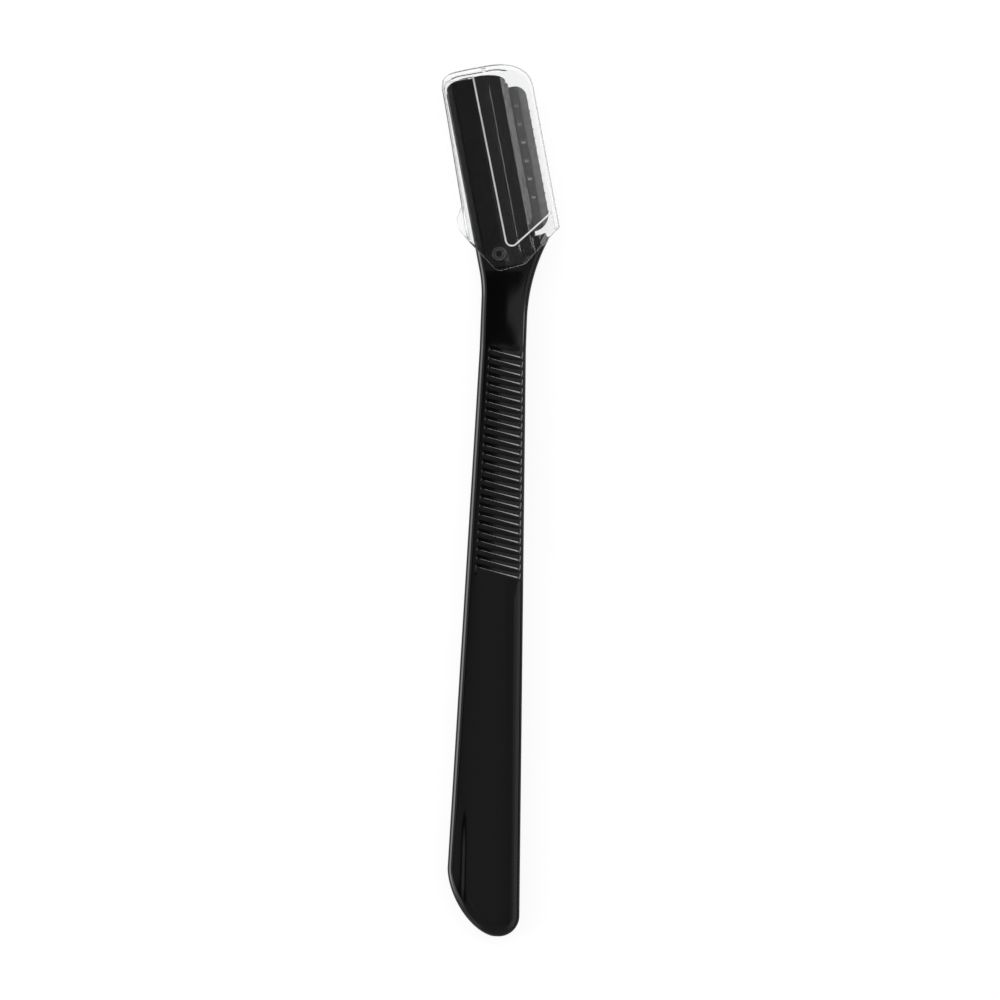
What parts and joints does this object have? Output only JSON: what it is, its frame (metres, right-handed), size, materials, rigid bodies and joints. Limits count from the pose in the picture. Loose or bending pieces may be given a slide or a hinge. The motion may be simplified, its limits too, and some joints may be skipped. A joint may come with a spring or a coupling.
{
  "type": "eyebrow razor",
  "caption": "Slim eyebrow razor with a ribbed grip, a bent head that holds a guarded steel blade, and a clear push-on cap.",
  "frame": {"origin": "on the flat back of the handle, on its centre line, halfway along the razor", "axes": "+X across the handle towards the blade's side, +Y up the handle towards the head, +Z out of the front face"},
  "size_m": [0.0213, 0.1506, 0.0049],
  "materials": {
    "handle_black": "polished moulded",
    "cover_black": "polished moulded",
    "carrier_black": "satin moulded",
    "blade_steel": "rolled strip with a ground edge",
    "guard_steel": "etched foil",
    "pin_black": "polished moulded",
    "clear_plastic": "clear moulded"
  },
  "bodies": {
    "razor": {"handle": "handle_black", "spine_cover": "cover_black", "blade_carrier": "carrier_black", "blade": "blade_steel", "blade_guard": "guard_steel", "hollow_pin": "pin_black"},
    "cap": {"cap": "clear_plastic"}
  },
  "joints": [
    {"name": "cap_slide", "type": "slide", "parent": "razor", "child": "cap", "axis": [-0.2198, 0.9755, 0], "range_m": [0, 0.045]}
  ]
}
